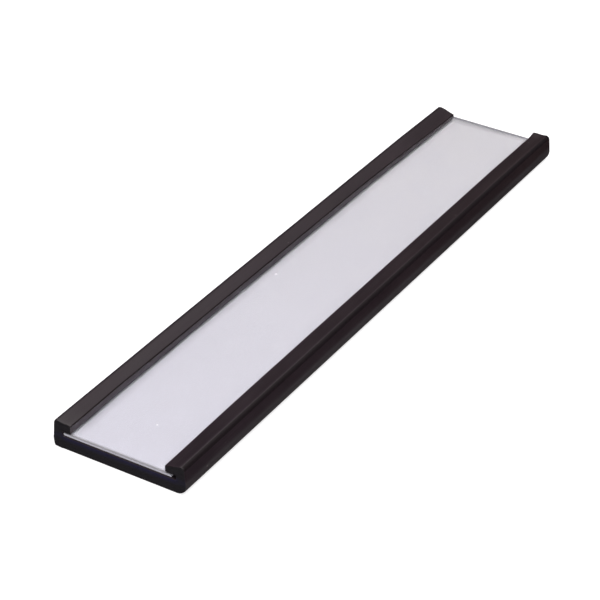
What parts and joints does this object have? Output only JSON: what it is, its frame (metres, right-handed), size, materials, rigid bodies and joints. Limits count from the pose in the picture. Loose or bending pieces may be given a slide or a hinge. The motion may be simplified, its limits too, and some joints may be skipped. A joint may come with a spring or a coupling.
{
  "type": "magnetic label holder",
  "caption": "Flexible magnetic C-profile strip that sticks to steel shelving, with a blank paper label under a clear cover held by the lips.",
  "frame": {"origin": "centre of the magnetised back", "axes": "+X across the strip, +Y along its length, +Z out of the shelf towards the reader, so the label is read from +Z"},
  "size_m": [0.02, 0.1, 0.0041],
  "materials": {
    "flexible_magnet": "satin, near-black brown",
    "label_card": "matte, blank, cool white",
    "clear_pvc": "clear, glossy"
  },
  "bodies": {
    "channel": {"magnetic_channel": "flexible_magnet"},
    "label": {"paper_label": "label_card"},
    "cover": {"clear_cover": "clear_pvc"}
  },
  "joints": [
    {"name": "label_slide", "type": "slide", "parent": "channel", "child": "label", "axis": [0, 1, 0], "range_m": [-0.105, 0.105]},
    {"name": "cover_slide", "type": "slide", "parent": "channel", "child": "cover", "axis": [0, 1, 0], "range_m": [-0.105, 0.105]}
  ]
}
